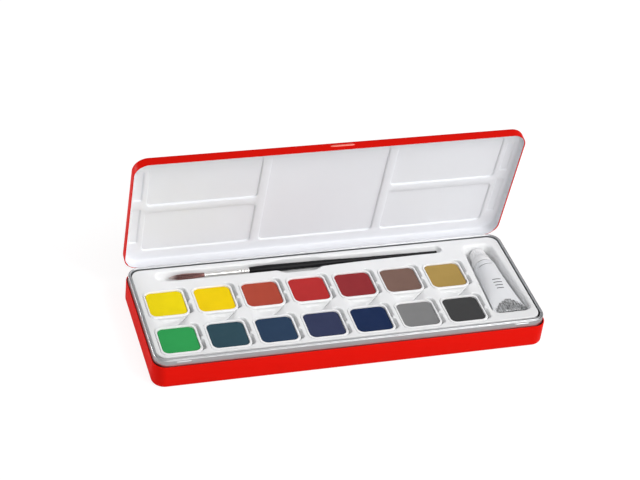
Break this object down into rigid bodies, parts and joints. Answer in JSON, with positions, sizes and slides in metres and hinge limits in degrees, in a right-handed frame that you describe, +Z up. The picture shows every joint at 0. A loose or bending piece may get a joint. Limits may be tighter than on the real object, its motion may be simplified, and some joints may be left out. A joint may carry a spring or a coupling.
{
  "type": "gouache paint set box",
  "caption": "Flat hinged metal tin of gouache: white tray with two rows of square paint pans, a brush groove and a paint tube, lid open as a mixing palette.",
  "frame": {"origin": "centre of the tin's flat underside, where it rests on a table", "axes": "+X to the right along the tin's long side, +Y from the front to the hinge, +Z up"},
  "size_m": [0.26, 0.1042, 0.1137],
  "materials": {
    "red_enamel": "glossy red enamel on tinplate; the inside of the lid is enamelled white",
    "bare_tinplate": "bare bright tinplate",
    "pin_steel": "plain steel wire",
    "tray_plastic": "white formed sheet, satin",
    "cup_plastic": "white moulded plastic",
    "brush_hair": "fine dark red brown hair",
    "ferrule_nickel": "bright nickel",
    "black_lacquer": "glossy black lacquer on wood",
    "tube_enamel": "satin white enamel on soft metal",
    "cap_plastic": "white moulded plastic",
    "paint_01": "dry matt gouache, lemon yellow, stands in as matte plastic",
    "paint_02": "dry matt gouache, golden yellow, stands in as matte plastic",
    "paint_03": "dry matt gouache, orange brown, stands in as matte plastic",
    "paint_04": "dry matt gouache, scarlet, stands in as matte plastic",
    "paint_05": "dry matt gouache, carmine, stands in as matte plastic",
    "paint_06": "dry matt gouache, umber, stands in as matte plastic",
    "paint_07": "dry matt gouache, ochre, stands in as matte plastic",
    "paint_08": "dry matt gouache, emerald green, stands in as matte plastic",
    "paint_09": "dry matt gouache, bottle green, stands in as matte plastic",
    "paint_10": "dry matt gouache, prussian blue, stands in as matte plastic",
    "paint_11": "dry matt gouache, violet blue, stands in as matte plastic",
    "paint_12": "dry matt gouache, ultramarine, stands in as matte plastic",
    "paint_13": "dry matt gouache, mid grey, stands in as matte plastic",
    "paint_14": "dry matt gouache, black, stands in as matte plastic"
  },
  "bodies": {
    "base": {"base_shell": "red_enamel", "neck_frame": "bare_tinplate", "paint_tray": "tray_plastic", "hinge_pin_left": "pin_steel", "hinge_pin_right": "pin_steel"},
    "lid": {"lid_shell": "red_enamel"},
    "brush": {"brush_hair": "brush_hair", "brush_ferrule": "ferrule_nickel", "brush_handle": "black_lacquer"},
    "tube": {"tube_body": "tube_enamel"},
    "cap": {"tube_cap": "cap_plastic"},
    "pan_01": {"pan_cup_01": "cup_plastic", "paint_cake_01": "paint_01"},
    "pan_02": {"pan_cup_02": "cup_plastic", "paint_cake_02": "paint_02"},
    "pan_03": {"pan_cup_03": "cup_plastic", "paint_cake_03": "paint_03"},
    "pan_04": {"pan_cup_04": "cup_plastic", "paint_cake_04": "paint_04"},
    "pan_05": {"pan_cup_05": "cup_plastic", "paint_cake_05": "paint_05"},
    "pan_06": {"pan_cup_06": "cup_plastic", "paint_cake_06": "paint_06"},
    "pan_07": {"pan_cup_07": "cup_plastic", "paint_cake_07": "paint_07"},
    "pan_08": {"pan_cup_08": "cup_plastic", "paint_cake_08": "paint_08"},
    "pan_09": {"pan_cup_09": "cup_plastic", "paint_cake_09": "paint_09"},
    "pan_10": {"pan_cup_10": "cup_plastic", "paint_cake_10": "paint_10"},
    "pan_11": {"pan_cup_11": "cup_plastic", "paint_cake_11": "paint_11"},
    "pan_12": {"pan_cup_12": "cup_plastic", "paint_cake_12": "paint_12"},
    "pan_13": {"pan_cup_13": "cup_plastic", "paint_cake_13": "paint_13"},
    "pan_14": {"pan_cup_14": "cup_plastic", "paint_cake_14": "paint_14"}
  },
  "joints": [
    {"name": "lid_hinge", "type": "hinge", "parent": "base", "child": "lid", "pos_m": [0, 0.0498, 0.01645], "axis": [-1, 0, 0], "range_deg": [-79, 26]},
    {"name": "pan_lift_01", "type": "slide", "parent": "base", "child": "pan_01", "axis": [0, 0, 1], "range_m": [0, 0.015]},
    {"name": "pan_lift_02", "type": "slide", "parent": "base", "child": "pan_02", "axis": [0, 0, 1], "range_m": [0, 0.015]},
    {"name": "pan_lift_03", "type": "slide", "parent": "base", "child": "pan_03", "axis": [0, 0, 1], "range_m": [0, 0.015]},
    {"name": "pan_lift_04", "type": "slide", "parent": "base", "child": "pan_04", "axis": [0, 0, 1], "range_m": [0, 0.015]},
    {"name": "pan_lift_05", "type": "slide", "parent": "base", "child": "pan_05", "axis": [0, 0, 1], "range_m": [0, 0.015]},
    {"name": "pan_lift_06", "type": "slide", "parent": "base", "child": "pan_06", "axis": [0, 0, 1], "range_m": [0, 0.015]},
    {"name": "pan_lift_07", "type": "slide", "parent": "base", "child": "pan_07", "axis": [0, 0, 1], "range_m": [0, 0.015]},
    {"name": "pan_lift_08", "type": "slide", "parent": "base", "child": "pan_08", "axis": [0, 0, 1], "range_m": [0, 0.015]},
    {"name": "pan_lift_09", "type": "slide", "parent": "base", "child": "pan_09", "axis": [0, 0, 1], "range_m": [0, 0.015]},
    {"name": "pan_lift_10", "type": "slide", "parent": "base", "child": "pan_10", "axis": [0, 0, 1], "range_m": [0, 0.015]},
    {"name": "pan_lift_11", "type": "slide", "parent": "base", "child": "pan_11", "axis": [0, 0, 1], "range_m": [0, 0.015]},
    {"name": "pan_lift_12", "type": "slide", "parent": "base", "child": "pan_12", "axis": [0, 0, 1], "range_m": [0, 0.015]},
    {"name": "pan_lift_13", "type": "slide", "parent": "base", "child": "pan_13", "axis": [0, 0, 1], "range_m": [0, 0.015]},
    {"name": "pan_lift_14", "type": "slide", "parent": "base", "child": "pan_14", "axis": [0, 0, 1], "range_m": [0, 0.015]},
    {"name": "brush_lift", "type": "slide", "parent": "base", "child": "brush", "axis": [0, 0, 1], "range_m": [0, 0.02]},
    {"name": "tube_lift", "type": "slide", "parent": "base", "child": "tube", "axis": [0, 0, 1], "range_m": [0, 0.02]},
    {"name": "tube_cap_turn", "type": "hinge", "parent": "tube", "child": "cap", "pos_m": [0.11105, 0.0212, 0.0136], "axis": [0, 1, 0], "range_deg": [0, 540]}
  ]
}
